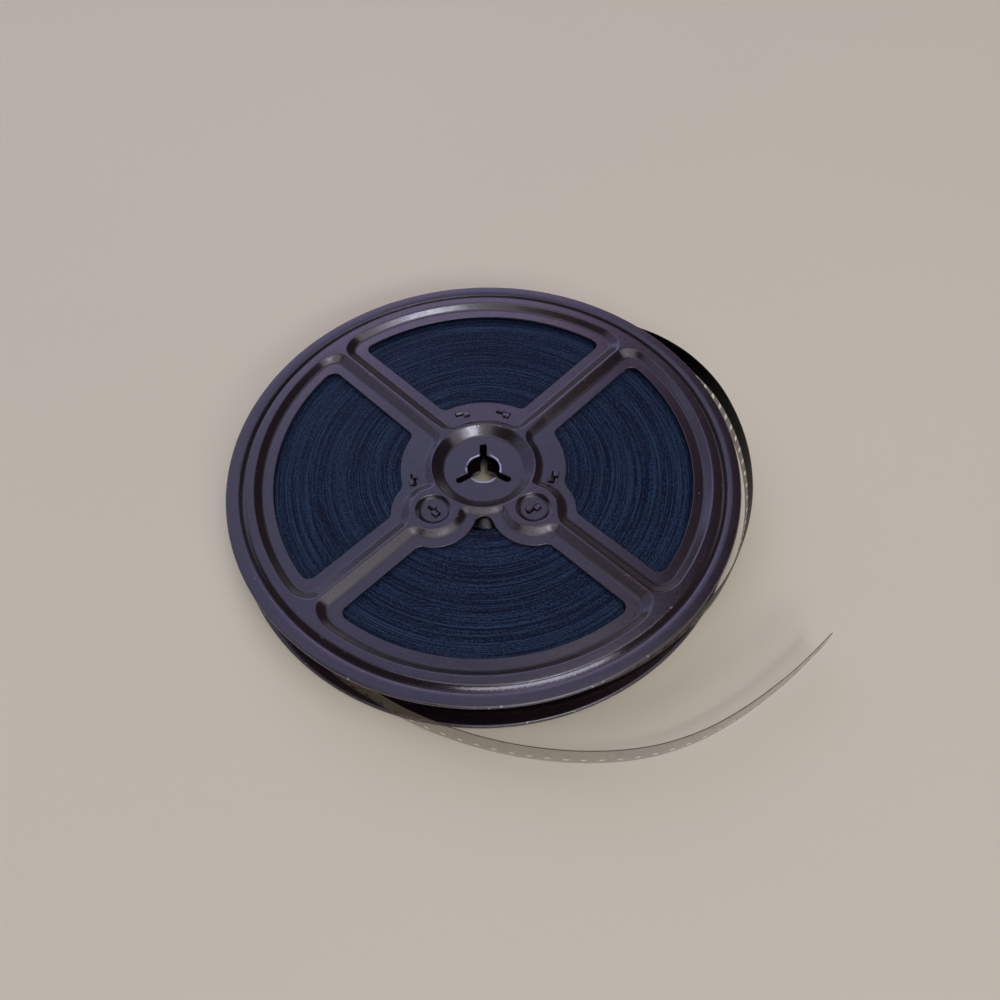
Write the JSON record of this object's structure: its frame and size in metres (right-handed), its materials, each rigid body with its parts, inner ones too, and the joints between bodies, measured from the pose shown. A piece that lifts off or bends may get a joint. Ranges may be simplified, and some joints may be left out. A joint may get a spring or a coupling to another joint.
{
  "type": "cine film reel",
  "caption": "Pressed-steel cine film reel: windowed flanges with ribbed spokes clinched to a hollow core, a keyed spindle hole, and wound narrow film whose loose end stands free.",
  "frame": {"origin": "on the reel's axle, at the surface that the reel lies on", "axes": "+Z along the axle, away from that surface; -Y towards the notch and the film's free end; +X to the right of it"},
  "size_m": [0.1403, 0.1357, 0.0136],
  "materials": {
    "enamel": "glossy dark brown-violet stove enamel, worn to bare steel round the spindle hole and chipped at the rims",
    "core_enamel": "the same enamel, scraped on the clinched tabs",
    "film_wound": "dark blue-black film edges with fine turn lines",
    "film_loose": "clear grey-tan film with a row of perforations along its lower edge, black on the loose turn"
  },
  "bodies": {
    "reel": {"upper_flange": "enamel", "lower_flange": "enamel", "core_band": "core_enamel", "film_roll": "film_wound"},
    "film": {"film_tail": "film_loose"}
  },
  "joints": [
    {"name": "film_unwind", "type": "hinge", "parent": "reel", "child": "film", "pos_m": [0, 0, 0.0068], "axis": [0, 0, 1], "continuous": true}
  ]
}
